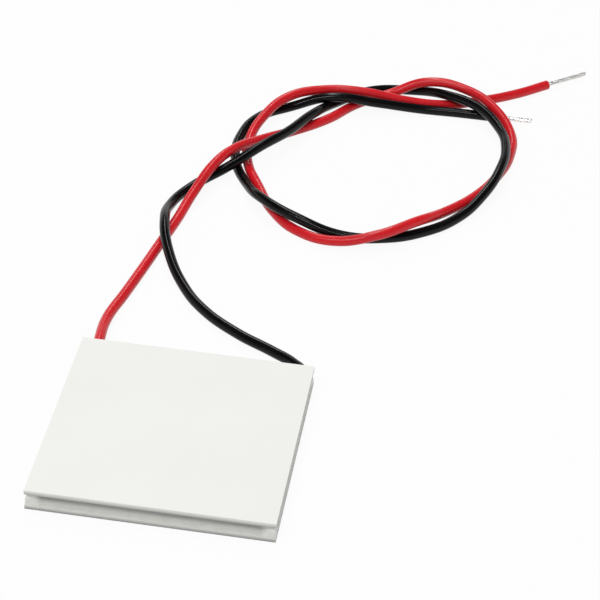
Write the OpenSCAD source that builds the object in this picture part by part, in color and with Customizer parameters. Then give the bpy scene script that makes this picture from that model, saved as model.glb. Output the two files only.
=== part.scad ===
// Thermoelectric cooling module: rows of N and P pellets between two ceramic
// plates, joined in one series circuit by copper tabs, sealed at the edge, with
// two flexible leads.
// Frame: the origin is the middle of the hot plate's outer face, +Z points to the
// cold plate's outer face, and the leads leave along +Y.

/* [Plates] */
// Side of each square ceramic plate
plate_side = 40; // [30:0.5:62]
// Thickness of each ceramic plate
plate_t = 0.8; // [0.5:0.05:1.5]

/* [Pellets] */
// Width of each square pellet
pellet_w = 1.4; // [1:0.05:2]
// Space between two neighbouring pellets
pellet_space = 0.95; // [0.7:0.05:1.5]

/* [Copper tabs] */
// Thickness of each tab
tab_t = 0.3; // [0.3:0.05:0.5]
// How far a tab reaches past its pellets on every side
tab_margin = 0.15; // [0.05:0.05:0.25]

/* [Edge seal] */
// Seal's foot on the hot plate, in from the plate's edge
seal_foot = 0.15; // [0.1:0.05:0.4]
// Seal's neck under the cold plate, in from the plate's edge
seal_neck = 0.7; // [0.5:0.05:0.9]
// Seal's width at its neck
seal_w = 0.65; // [0.5:0.05:1.2]
// Least space between the seal and the tabs
seal_space = 0.1; // [0.05:0.05:0.5]

/* [Leads] */
// Outer diameter of the insulation
lead_d = 1.9; // [1.2:0.1:2]
// Diameter of the stripped strands
core_d = 0.94; // [0.6:0.02:1.1]
// Space round each lead in the seal's hole
lead_clear = 0.05; // [0.02:0.01:0.08]
// Seal left over and under each lead's hole
lead_cover = 0.1; // [0.1:0.05:0.8]
// Straight stretch of each lead outside the plates
lead_straight = 0.5; // [0.2:0.1:2]
// Length of the red lead's bare end
red_tip_l = 9.8; // [5:0.1:15]
// Length of the black lead's bare end
black_tip_l = 6.8; // [5:0.1:15]
// Space between a solder joint's strands and the next pellet
core_space = 0.4; // [0.2:0.05:0.6]
// Solder joint's radius on the pad
solder_foot_r = 0.8; // [0.7:0.05:0.85]
// Solder joint's radius at its shoulder
solder_top_r = 0.7; // [0.6:0.05:0.8]
// Solder over the top of the strands
solder_over = 0.2; // [0.1:0.05:0.3]

/* [Hidden] */
$fn = 48;
// The gap between the plates takes a lead, with the seal over and under it
gap_h = lead_d + 2 * (lead_clear + lead_cover);
pellet_h = gap_h - 2 * tab_t;
hot_z = plate_t;
cold_z = plate_t + gap_h;
pellet_z = hot_z + tab_t;
pitch = pellet_w + pellet_space;
tab_w = pellet_w + 2 * tab_margin;
tab_l = pitch + tab_w;

// The grid is the largest even one that fits inside the seal
seal_in = seal_neck + seal_w;
grid_room = plate_side - 2 * (seal_in + seal_space) - 2 * tab_margin + pellet_space;
columns = 2 * floor(grid_room / pitch / 2);
last = columns - 1;

// Leads: soldered at the two corners of the edge row, halfway up the gap
lead_x = last / 2 * pitch;
lead_z = plate_t + gap_h / 2;
lead_in_y = plate_side / 2 - seal_in;
lead_out_y = plate_side / 2 + lead_straight;
lead_sides = 8;
core_in_y = row_y(1) + pellet_w / 2 + core_space;
strands = 6;
strand_points = 3 * strands;
strand_lay = 9;
strand_steps = 12;
groove = 0.12;
cut = 1;

red_route = [
    [-lead_x, lead_in_y, lead_z], [-lead_x, lead_out_y, lead_z],
    [-18, 29.5, 1.1], [-16.5, 37.5, 1], [-15, 45.5, 1], [-13.5, 54, 1], [-12, 62, 1.1],
    [-10.5, 70, 2], [-8, 77, 4.1], [-5, 84, 3.9], [-0.5, 91, 2.3], [4.5, 97, 1.1],
    [10.5, 103, 1], [15.5, 110, 1], [21.5, 114.5, 1.5], [29, 116.5, 4.1], [37, 115.5, 3.9],
    [43, 111, 3.1], [47, 105, 1.3], [47.5, 97.5, 1], [45.5, 89, 1], [42, 81.5, 1],
    [37, 74.5, 1.4], [32, 67.5, 3.1], [25.5, 62, 2.9], [18, 60.5, 1.5], [10.5, 63, 1],
    [5, 68.5, 1], [1, 76, 1], [-2.5, 84, 1], [-3.5, 91.5, 1.2], [-2, 99, 2.3],
    [2, 105.5, 3.6], [8.5, 109.5, 3.7], [16.5, 111, 3.4], [24.5, 112, 1.9], [32.5, 113.5, 1],
    [40, 116.5, 1.1], [47, 121, 1], [53, 126, 1]
];
black_route = [
    [lead_x, lead_in_y, lead_z], [lead_x, lead_out_y, lead_z],
    [16, 23, 1.5], [12, 26, 1.1], [5, 30, 1], [-2, 35.5, 1], [-7, 42, 1.1],
    [-11, 49.5, 2.2], [-13.5, 57.5, 3.2], [-14, 66.5, 1.4], [-11, 74, 1.1], [-5.5, 79.5, 2.5],
    [-0.5, 85, 4.1], [4, 92.5, 3.7], [7.5, 101, 2.9], [11.5, 108.5, 1.1], [17.5, 115.5, 1.1],
    [25.5, 117.5, 1.1], [33.5, 114, 3], [40, 110.5, 3.1], [44.5, 105, 2.4], [46.5, 97, 2.9],
    [46, 88.5, 3.1], [43.5, 80.5, 2.1], [39.5, 73.5, 1.1], [33.5, 67.5, 1], [26.5, 64, 1],
    [18.5, 63, 1.2], [10, 64.5, 2.9], [3, 69, 3.1], [-1.5, 76.5, 1.2], [-5, 84.5, 1],
    [-5.5, 93, 1], [-3, 101, 1], [2.5, 105.5, 1.3], [10.5, 107.5, 3.4], [19.5, 109, 2.4],
    [28, 110.5, 1.2], [36, 111, 1], [44, 111, 1]
];

// Columns run along X from the red lead, rows run along -Y from the lead edge
function column_x(c) = (c - last / 2) * pitch;
function row_y(r) = (last / 2 - r) * pitch;
// The edge row has no pellet at the two lead corners
function is_lead_corner(c, r) = r == 0 && (c == 0 || c == last);
// Current goes from the red lead up through an N pellet and down through a P pellet,
// down one column and up the next
function is_n(c, r) = (c + r) % 2 == 1;

module plate() {
    translate([-plate_side / 2, -plate_side / 2, 0]) cube([plate_side, plate_side, plate_t]);
}

module hot_plate() {
    color("whitesmoke") plate();
}

module cold_plate() {
    color("whitesmoke") translate([0, 0, cold_z]) plate();
}

// A ring of silicone whose outer face leans in from its foot to its neck in a hollow curve
module edge_seal() {
    lean = seal_neck - seal_foot;
    hollow_r = (lean * lean + gap_h * gap_h) / (2 * lean);
    foot_side = plate_side - 2 * seal_foot;
    inner_side = plate_side - 2 * seal_in;
    color("gainsboro") difference() {
        translate([-foot_side / 2, -foot_side / 2, hot_z]) cube([foot_side, foot_side, gap_h]);
        translate([-inner_side / 2, -inner_side / 2, hot_z - cut])
            cube([inner_side, inner_side, gap_h + 2 * cut]);
        for (turn = [0 : 90 : 270])
            rotate([0, 0, turn])
                translate([plate_side / 2 - seal_neck + hollow_r, 0, cold_z])
                    rotate([90, 0, 0])
                        cylinder(h = plate_side, r = hollow_r, center = true, $fn = 96);
        for (side = [-1, 1])
            translate([side * lead_x, lead_in_y - cut, lead_z])
                rotate([-90, 0, 0]) cylinder(h = seal_in + 2 * cut, d = lead_d + 2 * lead_clear);
    }
}

// One tab under or over the pellets at (c, r) and the next one along Y
module tab_along_y(c, r, z) {
    translate([column_x(c) - tab_w / 2, row_y(r) - pitch - tab_w / 2, z]) cube([tab_w, tab_l, tab_t]);
}

// One tab over the pellets at (c, r) and the next one along X
module tab_along_x(c, r, z) {
    translate([column_x(c) - tab_w / 2, row_y(r) - tab_w / 2, z]) cube([tab_l, tab_w, tab_t]);
}

module hot_tabs() {
    color("peru")
        for (c = [0 : last], r = [0 : 2 : last])
            if (!is_lead_corner(c, r)) tab_along_y(c, r, hot_z);
}

module lead_pad(c) {
    color("peru") tab_along_y(c, 0, hot_z);
}

module cold_column_tabs() {
    color("peru")
        for (c = [0 : last], r = [1 : 2 : last - 2]) tab_along_y(c, r, cold_z - tab_t);
}

// Links from each even column to the next at the edge away from the leads
module cold_far_links() {
    color("peru") for (c = [0 : 2 : last]) tab_along_x(c, last, cold_z - tab_t);
}

// Links from each odd column to the next at the lead edge
module cold_near_links() {
    color("peru") for (c = [1 : 2 : last - 2]) tab_along_x(c, 0, cold_z - tab_t);
}

module pellets(c, n_type) {
    for (r = [0 : last])
        if (is_n(c, r) == n_type && !is_lead_corner(c, r))
            translate([column_x(c) - pellet_w / 2, row_y(r) - pellet_w / 2, pellet_z])
                cube([pellet_w, pellet_w, pellet_h]);
}

module n_pellets(c) {
    color("slategray") pellets(c, true);
}

module p_pellets(c) {
    color("dimgray") pellets(c, false);
}

// A lead's insulation: one tube along its route
function unit(v) = v / norm(v);
function heading(path, i) =
    unit(path[min(i + 1, len(path) - 1)] - path[max(i - 1, 0)]);
function tube_ring(path, i, r, sides) =
    let (ahead = heading(path, i), aside = unit(cross(ahead, [0, 0, 1])), up = cross(aside, ahead))
    [for (k = [0 : sides - 1])
        let (a = 360 * (k + 0.5) / sides)
        path[i] + r * (cos(a) * up + sin(a) * aside)];

// A closed skin over a row of rings that have the same number of points
module skin(rings) {
    sides = len(rings[0]);
    ends = len(rings) - 1;
    walls = [for (i = [0 : ends - 1], k = [0 : sides - 1])
        let (n = (k + 1) % sides)
        each [[i * sides + k, (i + 1) * sides + n, i * sides + n],
              [i * sides + k, (i + 1) * sides + k, (i + 1) * sides + n]]];
    start_cap = [for (k = [0 : sides - 1]) k];
    end_cap = [for (k = [sides - 1 : -1 : 0]) ends * sides + k];
    polyhedron([for (ring = rings) each ring], concat([start_cap], walls, [end_cap]));
}

module tube(path, r, sides) {
    skin([for (i = [0 : len(path) - 1]) tube_ring(path, i, r, sides)]);
}

// Twisted strands that carry on straight from the end of a lead: a lobed outline
// that turns as it goes
function strand_ring(i, l) =
    let (turn = 360 * l * i / strand_steps / strand_lay)
    [for (k = [0 : strand_points - 1])
        let (a = 360 * k / strand_points, r = core_d / 2 - groove * (1 - cos(a * strands)) / 2)
        [r * cos(a + turn), r * sin(a + turn), l * i / strand_steps]];

module bare_end(path, l) {
    last_point = path[len(path) - 1];
    ahead = unit(last_point - path[len(path) - 2]);
    translate(last_point)
        rotate([0, acos(ahead.z), atan2(ahead.y, ahead.x)])
            skin([for (i = [0 : strand_steps]) strand_ring(i, l)]);
}

module red_lead() {
    color("crimson") tube(red_route, lead_d / 2, lead_sides);
}

module black_lead() {
    color([0.1, 0.1, 0.1]) tube(black_route, lead_d / 2, lead_sides);
}

module red_lead_tip() {
    color("silver") bare_end(red_route, red_tip_l);
}

module black_lead_tip() {
    color("silver") bare_end(black_route, black_tip_l);
}

// The stripped end inside the seal, which meets the insulation's end
module lead_core(side) {
    color("silver") translate([side * lead_x, core_in_y, lead_z])
        rotate([-90, 0, 0]) cylinder(h = lead_in_y - core_in_y, d = core_d);
}

// A mound of solder on the pad, round the stripped end
module lead_solder(side) {
    mound_h = lead_z - pellet_z + core_d / 2 + solder_over;
    shoulder_h = mound_h - solder_top_r / 2;
    color("lightgray") difference() {
        translate([side * lead_x, row_y(0), pellet_z])
            rotate_extrude()
                polygon([[0, 0], [solder_foot_r, 0], [solder_top_r, shoulder_h],
                         [solder_top_r / 2, mound_h], [0, mound_h]]);
        translate([side * lead_x, row_y(0) - 2 * solder_foot_r, lead_z])
            rotate([-90, 0, 0]) cylinder(h = 4 * solder_foot_r, d = core_d);
    }
}

module red_lead_core() { lead_core(-1); }
module black_lead_core() { lead_core(1); }
module red_lead_solder() { lead_solder(-1); }
module black_lead_solder() { lead_solder(1); }

hot_plate();
cold_plate();
edge_seal();
hot_tabs();
lead_pad(0);  // red_lead_pad
lead_pad(last);  // black_lead_pad
cold_column_tabs();
cold_far_links();
cold_near_links();
for (c = [0 : last]) {
    n_pellets(c);
    p_pellets(c);
}
red_lead();
red_lead_tip();
red_lead_core();
red_lead_solder();
black_lead();
black_lead_tip();
black_lead_core();
black_lead_solder();
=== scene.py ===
import math
import bmesh
import bpy
from mathutils import Matrix, Vector, noise


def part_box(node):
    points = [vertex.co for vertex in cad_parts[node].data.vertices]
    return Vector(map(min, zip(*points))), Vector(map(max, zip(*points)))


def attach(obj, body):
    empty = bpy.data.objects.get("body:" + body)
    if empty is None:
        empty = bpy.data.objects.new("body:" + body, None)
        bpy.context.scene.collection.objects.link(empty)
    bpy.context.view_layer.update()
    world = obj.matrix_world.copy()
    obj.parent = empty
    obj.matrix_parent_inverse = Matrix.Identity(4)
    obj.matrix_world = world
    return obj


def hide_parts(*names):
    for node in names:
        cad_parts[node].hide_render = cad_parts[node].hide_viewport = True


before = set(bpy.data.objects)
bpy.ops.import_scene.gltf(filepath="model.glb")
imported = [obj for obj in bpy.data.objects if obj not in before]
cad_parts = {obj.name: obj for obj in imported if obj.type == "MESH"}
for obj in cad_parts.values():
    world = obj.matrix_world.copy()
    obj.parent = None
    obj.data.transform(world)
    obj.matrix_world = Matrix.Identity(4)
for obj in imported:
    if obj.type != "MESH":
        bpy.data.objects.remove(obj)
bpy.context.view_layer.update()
mm = 0.001

# Camera at the working angle over the module's lead-free edge
cameraView = {
    "place": (52.458, -267.309, 232.344),
    "azimuth": 7.044,
    "elevation": 36.602,
    "roll": 2.878,
    "lens": 130.96,
    "sensor": 36,
    "nearClip": 0.01,
}


def placeCamera(view):
    azimuth, elevation, roll = (
        math.radians(view[key]) for key in ("azimuth", "elevation", "roll"))
    back = Vector((math.sin(azimuth) * math.cos(elevation),
                   -math.cos(azimuth) * math.cos(elevation), math.sin(elevation)))
    level = Vector((math.cos(azimuth), math.sin(azimuth), 0))
    rise = back.cross(level)
    right = math.cos(roll) * level + math.sin(roll) * rise
    up = math.cos(roll) * rise - math.sin(roll) * level
    data = bpy.data.cameras.new("benchCamera")
    data.lens = view["lens"]
    data.sensor_width = view["sensor"]
    data.clip_start = view["nearClip"]
    camera = bpy.data.objects.new("benchCamera", data)
    camera.matrix_world = Matrix.Translation(Vector(view["place"]) * mm) @ Matrix(
        (right, up, back)).transposed().to_4x4()
    bpy.context.scene.collection.objects.link(camera)
    bpy.context.scene.camera = camera


placeCamera(cameraView)
print("camera placed")

# Leads: the knots lie where the wires lie on the bench, in millimetres
redLeadShape = {
    "diameter": 1.9,
    "length": 311,
    "route": [
        (-17.625, 18.65, 1.9), (-17.625, 20.5, 1.9), (-18, 29.5, 1.1), (-16.5, 37.5, 1),
        (-15, 45.5, 1), (-13.5, 54, 1), (-12, 62, 1.1), (-10.5, 70, 2), (-8, 77, 4.1),
        (-5, 84, 3.9), (-0.5, 91, 2.3), (4.5, 97, 1.1), (10.5, 103, 1), (15.5, 110, 1),
        (21.5, 114.5, 1.5), (29, 116.5, 4.1), (37, 115.5, 3.9), (43, 111, 3.1), (47, 105, 1.3),
        (47.5, 97.5, 1), (45.5, 89, 1), (42, 81.5, 1), (37, 74.5, 1.4), (32, 67.5, 3.1),
        (25.5, 62, 2.9), (18, 60.5, 1.5), (10.5, 63, 1), (5, 68.5, 1), (1, 76, 1),
        (-2.5, 84, 1), (-3.5, 91.5, 1.2), (-2, 99, 2.3), (2, 105.5, 3.6), (8.5, 109.5, 3.7),
        (16.5, 111, 3.4), (24.5, 112, 1.9), (32.5, 113.5, 1), (40, 116.5, 1.1), (47, 121, 1),
        (53, 126, 1)],
}
blackLeadShape = {
    "diameter": 1.9,
    "length": 313,
    "route": [
        (17.625, 18.65, 1.9), (17.625, 20.5, 1.9), (16, 23, 1.5), (12, 26, 1.1), (5, 30, 1),
        (-2, 35.5, 1), (-7, 42, 1.1), (-11, 49.5, 2.2), (-13.5, 57.5, 3.2), (-14, 66.5, 1.4),
        (-11, 74, 1.1), (-5.5, 79.5, 2.5), (-0.5, 85, 4.1), (4, 92.5, 3.7), (7.5, 101, 2.9),
        (11.5, 109.7, 1.1), (17.5, 115.5, 1.1), (25.5, 117.5, 1.1), (33.5, 114, 3),
        (40, 110.5, 3.1), (44.5, 105, 2.4), (46.5, 97, 2.9), (46, 88.5, 3.1), (43.5, 80.5, 2.1),
        (39.5, 73.5, 1.1), (33.5, 67.5, 1), (26.5, 64, 1), (18.5, 63, 1.2), (10, 64.5, 2.9),
        (3, 69, 3.1), (-1.5, 76.5, 1.2), (-5, 84.5, 1), (-5.5, 93, 1), (-3, 101, 1),
        (2.5, 105.5, 1.3), (10.5, 107.5, 3.4), (19.5, 109, 2.4), (28, 110.5, 1.2),
        (36, 111, 1), (44, 111, 1)],
}
leadCurve = {"stepsPerKnot": 14, "roundness": 8, "handleShare": 0.35}


def layLead(name, shape):
    curve = bpy.data.curves.new(name, "CURVE")
    curve.dimensions = "3D"
    curve.resolution_u = leadCurve["stepsPerKnot"]
    curve.bevel_depth = shape["diameter"] / 2 * mm
    curve.bevel_resolution = leadCurve["roundness"]
    curve.use_fill_caps = True
    spline = curve.splines.new("BEZIER")
    spline.bezier_points.add(len(shape["route"]) - 1)
    for knot, place in zip(spline.bezier_points, shape["route"]):
        knot.co = Vector(place) * mm
        knot.handle_left_type = knot.handle_right_type = "AUTO"
    # The stretch through the seal leaves it straight
    start, outside, bend = spline.bezier_points[:3]
    for knot in (start, outside):
        knot.handle_left_type = knot.handle_right_type = "FREE"
        before = after = (outside.co - start.co).length * leadCurve["handleShare"]
        if knot == outside:
            after = (bend.co - outside.co).length * leadCurve["handleShare"]
        knot.handle_left = knot.co - Vector((0, before, 0))
        knot.handle_right = knot.co + Vector((0, after, 0))
    lead = bpy.data.objects.new(name, curve)
    bpy.context.scene.collection.objects.link(lead)
    return lead


redLead = layLead("redLead", redLeadShape)
blackLead = layLead("blackLead", blackLeadShape)
print("leads laid")


def sweepTube(mesh, path, widths, sides):
    across = Vector((0, 0, 1))
    rings = []
    for step, place in enumerate(path):
        ahead = (path[min(step + 1, len(path) - 1)] - path[max(step - 1, 0)]).normalized()
        across = (across - ahead * across.dot(ahead)).normalized()
        aside = ahead.cross(across)
        turns = [2 * math.pi * side / sides for side in range(sides)]
        rings.append([mesh.verts.new(place + widths[step] * (
            math.cos(turn) * across + math.sin(turn) * aside)) for turn in turns])
    for near, far in zip(rings, rings[1:]):
        for side in range(sides):
            after = (side + 1) % sides
            mesh.faces.new((near[side], near[after], far[after], far[side]))
    mesh.faces.new(rings[0][::-1])
    mesh.faces.new(rings[-1])


def finishMesh(name, mesh, sharpAngle=40):
    data = bpy.data.meshes.new(name)
    mesh.to_mesh(data)
    mesh.free()
    data.shade_smooth()
    data.set_sharp_from_angle(angle=math.radians(sharpAngle))
    piece = bpy.data.objects.new(name, data)
    bpy.context.scene.collection.objects.link(piece)
    return piece


# Bare ends: strands twisted round a core and tinned together
redBareShape = {"length": 9.8, "strands": 8, "strandWidth": 0.17, "ringWidth": 0.29,
                "lay": 5.5, "wander": 0.14, "seed": 3.0}
blackBareShape = {"length": 6.8, "strands": 8, "strandWidth": 0.17, "ringWidth": 0.29,
                  "lay": 5.0, "wander": 0.1, "seed": 11.0}
strandShape = {
    "steps": 72, "sides": 12, "coreWidth": 0.27, "hidden": 0.4, "tipShare": 0.75,
    "driftScale": 0.35, "driftLevel": 0.5, "driftSeed": 5,
    "cutSpread": 0.18, "cutStride": 1.7, "cutLevel": 2,
    "looseSpread": 0.16, "looseScale": 0.5, "looseStride": 2.3,
    "lumpSpread": 0.12, "lumpScale": 1.3, "lumpStride": 3.1, "lumpLevel": 5,
}


def twistBareEnd(name, leadShape, shape):
    end = Vector(leadShape["route"][-1])
    ahead = (end - Vector(leadShape["route"][-2])).normalized()
    aside = ahead.cross(Vector((0, 0, 1))).normalized()
    rise = aside.cross(ahead)
    make = strandShape
    mesh = bmesh.new()

    def axisPoint(along):
        # The bundle wanders a little from a straight line
        ease = max(along, 0) / shape["length"]
        drift = noise.noise_vector(Vector((
            along * make["driftScale"], shape["seed"], make["driftLevel"])))
        return end + ahead * along + shape["wander"] * ease * (drift.x * aside + drift.y * rise)

    for strand in range(shape["strands"] + 1):
        inCore = strand == shape["strands"]
        cut = shape["length"] - (0 if inCore else make["cutSpread"] * abs(noise.noise(
            Vector((strand * make["cutStride"], shape["seed"], make["cutLevel"])))))
        path, widths = [], []
        for step in range(make["steps"] + 1):
            along = -make["hidden"] + (cut + make["hidden"]) * step / make["steps"]
            turn = 2 * math.pi * (strand / shape["strands"] + along / shape["lay"])
            loose = 1 + make["looseSpread"] * noise.noise(Vector((
                along * make["looseScale"], strand * make["looseStride"], shape["seed"])))
            reach = 0 if inCore else shape["ringWidth"] * loose
            path.append((axisPoint(along) + reach * (
                math.cos(turn) * aside + math.sin(turn) * rise)) * mm)
            lump = 1 + make["lumpSpread"] * noise.noise(Vector((
                along * make["lumpScale"], strand * make["lumpStride"],
                shape["seed"] + make["lumpLevel"])))
            widths.append((make["coreWidth"] if inCore else shape["strandWidth"]) * lump * mm)
        widths[-1] *= make["tipShare"]
        sweepTube(mesh, path, widths, make["sides"])
    return finishMesh(name, mesh)


noise.seed_set(strandShape["driftSeed"])
redBareEnd = twistBareEnd("redBareEnd", redLeadShape, redBareShape)
blackBareEnd = twistBareEnd("blackBareEnd", blackLeadShape, blackBareShape)
print("bare ends twisted")

# Seal: one hand-laid bead of silicone between the plates
sealShape = {
    "skirt": 0.13, "lean": 0.68, "cove": 3.0, "width": 0.65, "cornerWidth": 0.3,
    "sideSteps": 170, "cornerSteps": 10, "faceSteps": 16,
    "cornerFill": 0.5, "cornerReach": 1.3, "cornerRound": 0.8, "lip": 0.16, "lipHeight": 0.09,
    "ripple": 0.05, "waveShare": 1.4, "waveScale": (0.35, 0.35, 0.8),
    "fineShare": 0.7, "fineScale": (1.3, 1.3, 1.9), "fineLevel": 7, "cornerRipple": 1.6,
    "collar": 0.22, "collarWidth": 0.45, "collarSpan": 3, "collarRound": 0.5,
    "holeWidth": 0.965, "holeSides": 48, "holeSteps": (-1.5, 1, 3),
    "leastInset": 0.01, "sharpAngle": 50,
}


def layBead(name, shape):
    low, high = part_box("edge_seal")
    low, high = low / mm, high / mm
    half, foot, top = high.x + shape["skirt"], low.z, high.z
    tall = top - foot
    leadPlaces = [Vector(redLeadShape["route"][0]), Vector(blackLeadShape["route"][0])]

    def squarePoint(reach, corner, share):
        # share runs once round a square of this reach with rounded corners
        sides, turns = shape["sideSteps"], shape["cornerSteps"]
        side, step = divmod(share, sides + turns)
        straight = reach - corner
        if step <= sides:
            flat = Vector((straight * (2 * step / sides - 1), -reach, 0))
            outward = Vector((0, -1, 0))
            fromCorner = straight - abs(flat.x)
        else:
            turn = math.pi / 2 * (step - sides) / turns
            outward = Vector((math.sin(turn), -math.cos(turn), 0))
            flat = Vector((straight, -straight, 0)) + outward * corner
            fromCorner = 0
        spin = Matrix.Rotation(math.pi / 2 * side, 3, "Z")
        return spin @ flat, spin @ outward, fromCorner

    def wetFace(share, level):
        # One point of the hollow outer face; level runs from foot to neck
        height = foot + tall * level
        inset = shape["lean"] * (1 - (1 - level) ** shape["cove"])
        place, outward, fromCorner = squarePoint(half, shape["cornerWidth"], share)
        nearCorner = math.exp(-(fromCorner / shape["cornerReach"]) ** 2)
        inset -= shape["cornerFill"] * nearCorner * (
            math.sin(math.pi * level) ** shape["cornerRound"])
        inset -= shape["lip"] * math.exp(-((1 - level) / shape["lipHeight"]) ** 2)
        spot = Vector((place.x, place.y, height))
        wave = noise.noise(spot * Vector(shape["waveScale"]))
        fine = noise.noise(spot * Vector(shape["fineScale"]) + Vector((0, 0, shape["fineLevel"])))
        bulge = math.sin(math.pi * min(max(level, 0), 1))
        inset += shape["ripple"] * bulge * (
            shape["waveShare"] * wave
            + (shape["fineShare"] + shape["cornerRipple"] * nearCorner) * fine)
        for lead in leadPlaces:
            if place.y > 0:
                gap = math.hypot(place.x - lead.x, height - lead.z) - redLeadShape["diameter"] / 2
                if abs(place.x - lead.x) < shape["collarSpan"]:
                    inset -= shape["collar"] * bulge ** shape["collarRound"] * math.exp(
                        -(max(gap, 0) / shape["collarWidth"]) ** 2)
        return place - outward * max(inset, shape["leastInset"]) + Vector((0, 0, height))

    mesh = bmesh.new()
    rounds = 4 * (shape["sideSteps"] + shape["cornerSteps"])
    rings = []
    for share in range(rounds):
        ring = [wetFace(share, step / shape["faceSteps"]) for step in range(shape["faceSteps"] + 1)]
        inner = half - shape["lean"] - shape["width"]
        for height in (top, (top + foot) / 2, foot):
            place = squarePoint(inner, shape["cornerWidth"], share)[0]
            ring.append(place + Vector((0, 0, height)))
        rings.append([mesh.verts.new(place * mm) for place in ring])
    for share in range(rounds):
        near, far = rings[share], rings[(share + 1) % rounds]
        for step in range(len(near)):
            after = (step + 1) % len(near)
            mesh.faces.new((near[step], far[step], far[after], near[after]))
    bead = finishMesh(name, mesh, shape["sharpAngle"])

    # The leads run out through two tight holes
    cutter = bmesh.new()
    for lead in leadPlaces:
        path = [Vector((lead.x, lead.y + step, lead.z)) * mm for step in shape["holeSteps"]]
        sweepTube(cutter, path, [shape["holeWidth"] * mm] * len(path), shape["holeSides"])
    holes = finishMesh("leadHoleCutter", cutter)
    cut = bead.modifiers.new("leadHoles", "BOOLEAN")
    cut.operation = "DIFFERENCE"
    cut.solver = "EXACT"
    cut.object = holes
    view = bpy.context.evaluated_depsgraph_get()
    data = bpy.data.meshes.new_from_object(bead.evaluated_get(view))
    bead.modifiers.clear()
    bead.data = data
    bpy.data.objects.remove(holes)
    data.shade_smooth()
    data.set_sharp_from_angle(angle=math.radians(shape["sharpAngle"]))
    return bead


edgeBead = layBead("edgeBead", sealShape)
print("seal laid")


# Shared effects
def setInputs(node, values):
    for socket, value in values.items():
        node.inputs[socket].default_value = value


def addMath(tree, operation, *sources):
    # Each source is a socket to link or a plain number
    node = tree.nodes.new("ShaderNodeMath")
    node.operation = operation
    for index, source in enumerate(sources):
        if isinstance(source, bpy.types.NodeSocket):
            tree.links.new(source, node.inputs[index])
        else:
            node.inputs[index].default_value = source
    return node.outputs["Value"]


def addBlend(tree, weight, first, second, kind="MIX"):
    node = tree.nodes.new("ShaderNodeMix")
    node.data_type = "RGBA"
    node.blend_type = kind
    tree.links.new(weight, node.inputs["Factor"])
    for socket, source in (("A", first), ("B", second)):
        if isinstance(source, bpy.types.NodeSocket):
            tree.links.new(source, node.inputs[socket])
        else:
            node.inputs[socket].default_value = source
    return node.outputs["Result"]


cloudLook = {"Detail": 5, "Roughness": 0.6}
cloudRange = {"From Min": 0.35, "From Max": 0.68}
grainLook = {"Detail": 6, "Roughness": 0.65}
grainRange = {"From Min": 0.3, "From Max": 0.7}
steepestFlat = 0.97


def startGroup(name, sockets):
    group = bpy.data.node_groups.new(name, "ShaderNodeTree")
    for socketName, way, kind, value in sockets:
        socket = group.interface.new_socket(name=socketName, in_out=way, socket_type=kind)
        if value is not None:
            socket.default_value = value
    start = group.nodes.new("NodeGroupInput")
    end = group.nodes.new("NodeGroupOutput")
    where = group.nodes.new("ShaderNodeTexCoord")
    return group, start, end, where


def makeToneDrift():
    # Soft change between two colours over the surface
    group, start, end, where = startGroup("toneDrift", [
        ("Main Color", "INPUT", "NodeSocketColor", (1, 1, 1, 1)),
        ("Drift Color", "INPUT", "NodeSocketColor", (0.8, 0.8, 0.8, 1)),
        ("Scale", "INPUT", "NodeSocketFloat", 100),
        ("Share", "INPUT", "NodeSocketFloat", 0.5),
        ("Color", "OUTPUT", "NodeSocketColor", None)])
    cloud = group.nodes.new("ShaderNodeTexNoise")
    setInputs(cloud, cloudLook)
    spread = group.nodes.new("ShaderNodeMapRange")
    setInputs(spread, cloudRange)
    link = group.links.new
    link(where.outputs["Object"], cloud.inputs["Vector"])
    link(start.outputs["Scale"], cloud.inputs["Scale"])
    link(cloud.outputs["Fac"], spread.inputs["Value"])
    weight = addMath(group, "MULTIPLY", spread.outputs["Result"], start.outputs["Share"])
    blend = addBlend(group, weight, start.outputs["Main Color"], start.outputs["Drift Color"])
    link(blend, end.inputs["Color"])
    return group


def makeFineGrain():
    # Small relief, with the roughness that goes with it
    group, start, end, where = startGroup("fineGrain", [
        ("Scale", "INPUT", "NodeSocketFloat", 2000),
        ("Relief", "INPUT", "NodeSocketFloat", 0.2),
        ("Depth", "INPUT", "NodeSocketFloat", 0.00002),
        ("Smooth", "INPUT", "NodeSocketFloat", 0.3),
        ("Rough", "INPUT", "NodeSocketFloat", 0.5),
        ("Roughness", "OUTPUT", "NodeSocketFloat", None),
        ("Normal", "OUTPUT", "NodeSocketVector", None)])
    grain = group.nodes.new("ShaderNodeTexNoise")
    setInputs(grain, grainLook)
    polish = group.nodes.new("ShaderNodeMapRange")
    setInputs(polish, grainRange)
    relief = group.nodes.new("ShaderNodeBump")
    link = group.links.new
    link(where.outputs["Object"], grain.inputs["Vector"])
    link(start.outputs["Scale"], grain.inputs["Scale"])
    link(grain.outputs["Fac"], polish.inputs["Value"])
    link(start.outputs["Smooth"], polish.inputs["To Min"])
    link(start.outputs["Rough"], polish.inputs["To Max"])
    link(polish.outputs["Result"], end.inputs["Roughness"])
    link(start.outputs["Relief"], relief.inputs["Strength"])
    link(start.outputs["Depth"], relief.inputs["Distance"])
    link(grain.outputs["Fac"], relief.inputs["Height"])
    link(relief.outputs["Normal"], end.inputs["Normal"])
    return group


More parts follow.
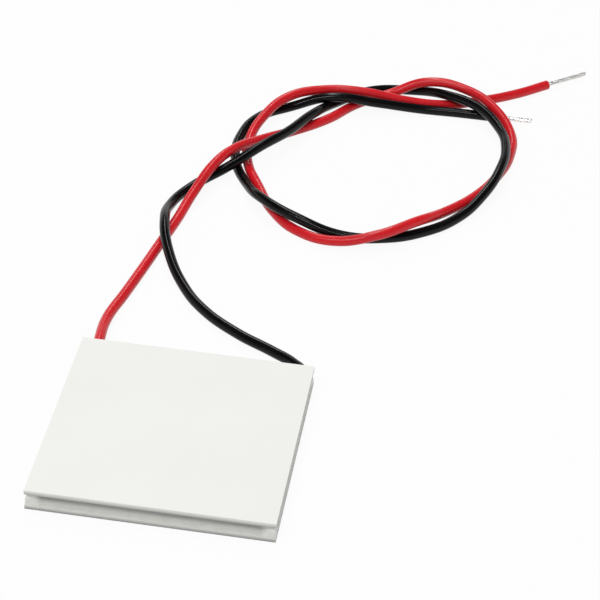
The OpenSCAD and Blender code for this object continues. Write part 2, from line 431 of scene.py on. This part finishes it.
def makeSpecks():
    # Scattered small spots: 1 in a spot, 0 elsewhere
    group, start, end, where = startGroup("specks", [
        ("Scale", "INPUT", "NodeSocketFloat", 150),
        ("Width", "INPUT", "NodeSocketFloat", 0.1),
        ("Rarity", "INPUT", "NodeSocketFloat", 0.9),
        ("Mask", "OUTPUT", "NodeSocketFloat", None)])
    cells = group.nodes.new("ShaderNodeTexVoronoi")
    split = group.nodes.new("ShaderNodeSeparateColor")
    link = group.links.new
    link(where.outputs["Object"], cells.inputs["Vector"])
    link(start.outputs["Scale"], cells.inputs["Scale"])
    link(cells.outputs["Color"], split.inputs["Color"])
    chosen = addMath(group, "GREATER_THAN", split.outputs["Red"], start.outputs["Rarity"])
    size = addMath(group, "MULTIPLY", split.outputs["Green"], start.outputs["Width"])
    inside = addMath(group, "LESS_THAN", cells.outputs["Distance"], size)
    link(addMath(group, "MULTIPLY", chosen, inside), end.inputs["Mask"])
    return group


def makeHeightShade():
    # Painted shade that changes with height on upright faces, and repeats every Period
    group, start, end, where = startGroup("heightShade", [
        ("Color", "INPUT", "NodeSocketColor", (1, 1, 1, 1)),
        ("Period", "INPUT", "NodeSocketFloat", 1),
        ("Low Height", "INPUT", "NodeSocketFloat", 0),
        ("High Height", "INPUT", "NodeSocketFloat", 0.001),
        ("Low Shade", "INPUT", "NodeSocketFloat", 0.5),
        ("High Shade", "INPUT", "NodeSocketFloat", 1),
        ("Color", "OUTPUT", "NodeSocketColor", None)])
    faces = group.nodes.new("ShaderNodeNewGeometry")
    facing = group.nodes.new("ShaderNodeSeparateXYZ")
    height = group.nodes.new("ShaderNodeSeparateXYZ")
    shade = group.nodes.new("ShaderNodeMapRange")
    link = group.links.new
    link(faces.outputs["True Normal"], facing.inputs["Vector"])
    onSide = addMath(group, "LESS_THAN", addMath(group, "ABSOLUTE", facing.outputs["Z"]),
                     steepestFlat)
    link(where.outputs["Object"], height.inputs["Vector"])
    level = addMath(group, "MODULO", height.outputs["Z"], start.outputs["Period"])
    link(level, shade.inputs["Value"])
    link(start.outputs["Low Height"], shade.inputs["From Min"])
    link(start.outputs["High Height"], shade.inputs["From Max"])
    link(start.outputs["Low Shade"], shade.inputs["To Min"])
    link(start.outputs["High Shade"], shade.inputs["To Max"])
    link(addBlend(group, onSide, start.outputs["Color"], shade.outputs["Result"], "MULTIPLY"),
         end.inputs["Color"])
    return group


def makeCornerMask():
    # 1 at the four corners of the module, 0 along its sides; it keeps painted shade off the corners
    group, start, end, where = startGroup("cornerMask", [
        ("Inner", "INPUT", "NodeSocketFloat", 0.017),
        ("Outer", "INPUT", "NodeSocketFloat", 0.019),
        ("Mask", "OUTPUT", "NodeSocketFloat", None)])
    split = group.nodes.new("ShaderNodeSeparateXYZ")
    mask = group.nodes.new("ShaderNodeMapRange")
    mask.interpolation_type = "SMOOTHSTEP"
    link = group.links.new
    link(where.outputs["Object"], split.inputs["Vector"])
    reaches = [addMath(group, "ABSOLUTE", split.outputs[axis]) for axis in "XY"]
    link(addMath(group, "MINIMUM", *reaches), mask.inputs["Value"])
    link(start.outputs["Inner"], mask.inputs["From Min"])
    link(start.outputs["Outer"], mask.inputs["From Max"])
    link(mask.outputs["Result"], end.inputs["Mask"])
    return group


toneDrift = makeToneDrift()
cornerMask = makeCornerMask()
heightShade = makeHeightShade()
fineGrain = makeFineGrain()
specks = makeSpecks()


def startFinish(name, shaderValues):
    finish = bpy.data.materials.new(name)
    finish.use_nodes = True
    shader = finish.node_tree.nodes["Principled BSDF"]
    setInputs(shader, shaderValues)
    return finish, finish.node_tree, shader


def placeGroup(tree, group, values):
    node = tree.nodes.new("ShaderNodeGroup")
    node.node_tree = group
    setInputs(node, values)
    return node


def dressSurface(name, look):
    # Colour, specks, painted shade and relief of one finish
    finish, tree, shader = startFinish(name, look["shader"])
    tone = placeGroup(tree, toneDrift, look["tone"])
    grain = placeGroup(tree, fineGrain, look["grain"])
    color = tone.outputs["Color"]
    if "specks" in look:
        spots = placeGroup(tree, specks, look["specks"])
        color = addBlend(tree, spots.outputs["Mask"], color, look["speckColor"])
    # Painted shade by height, left off at the corners where a corner mask is given
    if "shade" in look:
        shade = placeGroup(tree, heightShade, look["shade"])
        tree.links.new(color, shade.inputs["Color"])
        if "corners" in look:
            corners = placeGroup(tree, cornerMask, look["corners"])
            color = addBlend(tree, corners.outputs["Mask"], shade.outputs["Color"], color)
        else:
            color = shade.outputs["Color"]
    tree.links.new(color, shader.inputs["Base Color"])
    tree.links.new(grain.outputs["Roughness"], shader.inputs["Roughness"])
    tree.links.new(grain.outputs["Normal"], shader.inputs["Normal"])
    return finish


ceramicLook = {
    "shader": {"Specular IOR Level": 0.4},
    "tone": {"Main Color": (0.87, 0.875, 0.835, 1), "Drift Color": (0.83, 0.835, 0.80, 1),
             "Scale": 60, "Share": 0.5},
    "grain": {"Scale": 9000, "Relief": 0.25, "Depth": 0.00001, "Smooth": 0.42, "Rough": 0.6},
    "specks": {"Scale": 330, "Width": 0.12, "Rarity": 0.985},
    "speckColor": (0.30, 0.28, 0.25, 1),
    # Painted shade: the upright edges of both plates darken towards their lower edge, standing in
    # for the contact shadow and the light falling off near the bench
    "shade": {"Period": 0.0028, "Low Height": 0.0, "High Height": 0.0008,
              "Low Shade": 0.32, "High Shade": 0.97},
}
siliconeLook = {
    "shader": {"Specular IOR Level": 0.5, "Coat Weight": 0.9, "Coat Roughness": 0.07,
               "Subsurface Weight": 0.05, "Subsurface Scale": 0.0003},
    "tone": {"Main Color": (0.82, 0.82, 0.775, 1), "Drift Color": (0.68, 0.68, 0.635, 1),
             "Scale": 700, "Share": 0.5},
    "grain": {"Scale": 2600, "Relief": 0.5, "Depth": 0.00006, "Smooth": 0.22, "Rough": 0.5},
    "specks": {"Scale": 420, "Width": 0.22, "Rarity": 0.96},
    "speckColor": (0.16, 0.14, 0.11, 1),
    # Painted shade: the bead darkens upwards into the crease under the cold plate, where its shadow
    # falls
    "shade": {"Period": 1, "Low Height": 0.0008, "High Height": 0.0023,
              "Low Shade": 1.0, "High Shade": 0.36},
    # The painted crease shade is left off at the corners, where thick blobs stand out into the
    # light
    "corners": {"Inner": 0.0172, "Outer": 0.0188},
}
redVinylLook = {
    "shader": {"Specular IOR Level": 0.36},
    "tone": {"Main Color": (0.72, 0.010, 0.018, 1), "Drift Color": (0.58, 0.006, 0.012, 1),
             "Scale": 180, "Share": 0.6},
    "grain": {"Scale": 1500, "Relief": 0.03, "Depth": 0.00003, "Smooth": 0.25, "Rough": 0.36},
}
blackVinylLook = {
    "shader": {"Specular IOR Level": 0.17},
    "tone": {"Main Color": (0.003, 0.003, 0.0035, 1), "Drift Color": (0.006, 0.006, 0.007, 1),
             "Scale": 180, "Share": 0.6},
    "grain": {"Scale": 1500, "Relief": 0.03, "Depth": 0.00003, "Smooth": 0.17, "Rough": 0.24},
}
tinLook = {
    "shader": {"Metallic": 1.0},
    "tone": {"Main Color": (0.95, 0.94, 0.92, 1), "Drift Color": (0.78, 0.77, 0.74, 1),
             "Scale": 1500, "Share": 0.7},
    "grain": {"Scale": 5000, "Relief": 0.4, "Depth": 0.00003, "Smooth": 0.16, "Rough": 0.42},
}
solderLook = {
    "shader": {"Metallic": 1.0},
    "tone": {"Main Color": (0.70, 0.70, 0.69, 1), "Drift Color": (0.48, 0.48, 0.47, 1),
             "Scale": 1200, "Share": 0.7},
    "grain": {"Scale": 3000, "Relief": 0.5, "Depth": 0.00004, "Smooth": 0.2, "Rough": 0.5},
    "specks": {"Scale": 2500, "Width": 0.25, "Rarity": 0.9},
    "speckColor": (0.25, 0.22, 0.16, 1),
}
copperLook = {
    "shader": {"Metallic": 1.0},
    "tone": {"Main Color": (0.74, 0.36, 0.21, 1), "Drift Color": (0.46, 0.20, 0.11, 1),
             "Scale": 900, "Share": 0.8},
    "grain": {"Scale": 4000, "Relief": 0.3, "Depth": 0.00002, "Smooth": 0.28, "Rough": 0.55},
    "specks": {"Scale": 1400, "Width": 0.4, "Rarity": 0.88},
    "speckColor": (0.60, 0.60, 0.58, 1),
}
nAlloyLook = {
    "shader": {"Metallic": 1.0},
    "tone": {"Main Color": (0.26, 0.26, 0.275, 1), "Drift Color": (0.16, 0.16, 0.175, 1),
             "Scale": 1300, "Share": 0.9},
    "grain": {"Scale": 3500, "Relief": 0.5, "Depth": 0.00003, "Smooth": 0.3, "Rough": 0.6},
    "specks": {"Scale": 2200, "Width": 0.5, "Rarity": 0.8},
    "speckColor": (0.42, 0.42, 0.44, 1),
}
pAlloyLook = {
    "shader": {"Metallic": 1.0},
    "tone": {"Main Color": (0.20, 0.195, 0.20, 1), "Drift Color": (0.11, 0.108, 0.115, 1),
             "Scale": 1300, "Share": 0.9},
    "grain": {"Scale": 3500, "Relief": 0.5, "Depth": 0.00003, "Smooth": 0.35, "Rough": 0.65},
    "specks": {"Scale": 2200, "Width": 0.5, "Rarity": 0.85},
    "speckColor": (0.36, 0.35, 0.35, 1),
}

whiteCeramic = dressSurface("whiteCeramic", ceramicLook)
whiteSilicone = dressSurface("whiteSilicone", siliconeLook)
redVinyl = dressSurface("redVinyl", redVinylLook)
blackVinyl = dressSurface("blackVinyl", blackVinylLook)
tinnedWire = dressSurface("tinnedWire", tinLook)
solder = dressSurface("solder", solderLook)
copper = dressSurface("copper", copperLook)
nAlloy = dressSurface("nAlloy", nAlloyLook)
pAlloy = dressSurface("pAlloy", pAlloyLook)


def wear(piece, finish):
    if not piece.material_slots:
        piece.data.materials.append(finish)
    for slot in piece.material_slots:
        slot.material = finish


for name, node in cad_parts.items():
    if name.endswith("_plate"):
        wear(node, whiteCeramic)
    elif name.startswith("n_pellets"):
        wear(node, nAlloy)
    elif name.startswith("p_pellets"):
        wear(node, pAlloy)
    elif name.endswith("_core"):
        wear(node, tinnedWire)
    elif name.endswith("_solder"):
        wear(node, solder)
    elif name.endswith(("_tabs", "_links", "_pad")):
        wear(node, copper)

for piece, finish, slot in (
        (redLead, redVinyl, "red_vinyl"), (blackLead, blackVinyl, "black_vinyl"),
        (redBareEnd, tinnedWire, "tinned_wire"), (blackBareEnd, tinnedWire, "tinned_wire"),
        (edgeBead, whiteSilicone, "white_silicone")):
    wear(piece, finish)
    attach(piece, "root")
print("finishes on")

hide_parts("red_lead")
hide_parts("black_lead")
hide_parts("red_lead_tip")
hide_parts("black_lead_tip")
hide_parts("edge_seal")

# Bench and light
benchLook = {
    "size": 4, "backdropShare": 0.93,
    "shader": {"Base Color": (0.84, 0.84, 0.85, 1), "Roughness": 0.9, "Specular IOR Level": 0.0},
}
lampSetup = [
    {"name": "frontStrip", "place": (-0.12, -0.38, 0.72), "size": (0.55, 0.05), "power": 2.75},
    {"name": "longStrip", "place": (-0.07, 0.45, 0.75), "size": (0.09, 1.0), "power": 3.2},
]
lampTarget = (0.01, 0.05, 0)
worldLight = 0.36
flagShape = {"size": 6, "height": 1.15, "shader": {"Base Color": (0.02, 0.02, 0.02, 1)}}


def seenMask(tree):
    # 1 where the eye, a mirror or glass looks straight at it
    path = tree.nodes.new("ShaderNodeLightPath")
    direct = addMath(tree, "MAXIMUM", path.outputs["Is Camera Ray"], path.outputs["Is Glossy Ray"])
    return addMath(tree, "MAXIMUM", direct, path.outputs["Is Transmission Ray"])


def layCard(name, size):
    mesh = bmesh.new()
    bmesh.ops.create_grid(mesh, x_segments=4, y_segments=4, size=size / 2)
    return finishMesh(name, mesh)


def layBench(look):
    bench = layCard("bench", look["size"])
    finish, tree, shader = startFinish("paleBench", look["shader"])
    glow = tree.nodes.new("ShaderNodeEmission")
    share = addMath(tree, "MULTIPLY", seenMask(tree), look["backdropShare"])
    blend = tree.nodes.new("ShaderNodeMixShader")
    tree.links.new(share, blend.inputs[0])
    tree.links.new(shader.outputs["BSDF"], blend.inputs[1])
    tree.links.new(glow.outputs["Emission"], blend.inputs[2])
    tree.links.new(blend.outputs["Shader"], tree.nodes["Material Output"].inputs["Surface"])
    bench.data.materials.append(finish)


def hangLamps(setup):
    for lamp in setup:
        data = bpy.data.lights.new(lamp["name"], "AREA")
        data.shape = "RECTANGLE"
        data.size, data.size_y = lamp["size"]
        data.energy = lamp["power"]
        light = bpy.data.objects.new(lamp["name"], data)
        light.location = lamp["place"]
        aim = Vector(lampTarget) - Vector(lamp["place"])
        light.rotation_euler = aim.to_track_quat("-Z", "Y").to_euler()
        bpy.context.scene.collection.objects.link(light)


def lightWorld(strength):
    world = bpy.data.worlds.new("paleRoom")
    bpy.context.scene.world = world
    world.use_nodes = True
    tree = world.node_tree
    background = tree.nodes["Background"]
    background.inputs["Color"].default_value = (1, 1, 1, 1)
    level = tree.nodes.new("ShaderNodeMapRange")
    level.inputs["To Min"].default_value = strength
    level.inputs["To Max"].default_value = 1
    tree.links.new(seenMask(tree), level.inputs["Value"])
    tree.links.new(level.outputs["Result"], background.inputs["Strength"])


def hangFlag(shape):
    # A dark card over the lamps, seen by reflections alone, keeps black gloss black
    flag = layCard("darkFlag", shape["size"])
    flag.location.z = shape["height"]
    flag.data.materials.append(startFinish("darkCard", shape["shader"])[0])
    flag.visible_camera = flag.visible_diffuse = flag.visible_transmission = False
    flag.visible_shadow = False


layBench(benchLook)
hangFlag(flagShape)
hangLamps(lampSetup)
lightWorld(worldLight)
bpy.context.scene.view_settings.view_transform = "Standard"
print("bench lit")
